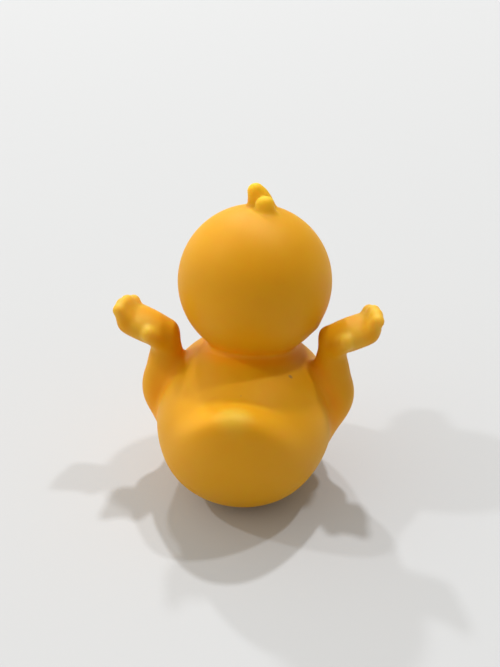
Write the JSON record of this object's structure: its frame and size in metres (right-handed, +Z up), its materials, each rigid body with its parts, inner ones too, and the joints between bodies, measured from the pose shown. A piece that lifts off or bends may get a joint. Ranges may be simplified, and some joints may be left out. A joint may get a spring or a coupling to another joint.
{
  "type": "rubber duck",
  "caption": "Hollow soft-vinyl bath duck with a ball head, an egg body with a turned-up tail, and raised arms with open upturned hands; stands on a flat base.",
  "frame": {"origin": "under the middle of the duck's bounding box, on the plane of its flat base", "axes": "+Z up; the duck faces -Y, its tail points to +Y and its left hand is at +X"},
  "size_m": [0.0784, 0.0798, 0.0916],
  "materials": {
    "vinyl": "matte soft vinyl, warm yellow"
  },
  "bodies": {
    "root": {"duck_shell": "vinyl"}
  },
  "joints": []
}
